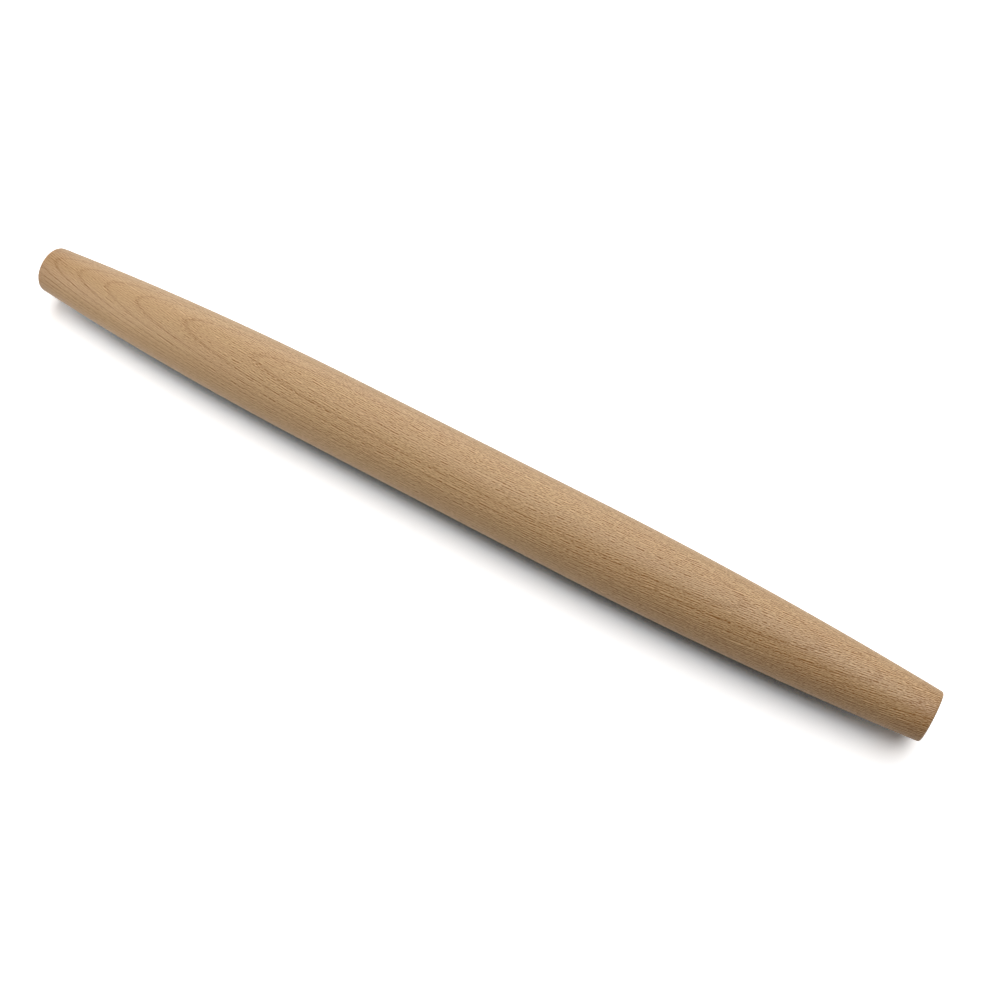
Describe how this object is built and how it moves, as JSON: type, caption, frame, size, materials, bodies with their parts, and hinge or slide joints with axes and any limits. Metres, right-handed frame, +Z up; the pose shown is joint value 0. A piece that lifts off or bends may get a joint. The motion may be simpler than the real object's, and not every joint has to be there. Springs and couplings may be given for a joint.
{
  "type": "french rolling pin",
  "caption": "Solid wooden rolling pin without handles: a straight belly narrows in long curves to flat, eased ends.",
  "frame": {"origin": "middle of the pin: the point on its turning axis halfway between the two end faces", "axes": "+X along the turning axis, +Z up with the pin lying on its belly, whose lowest line is at z = -0.020 m"},
  "size_m": [0.505, 0.04, 0.04],
  "materials": {
    "beech": "bare steamed beech, sanded smooth, satin, with fine brown ray flecks along the grain"
  },
  "bodies": {
    "root": {"rolling_pin": "beech"}
  },
  "joints": []
}
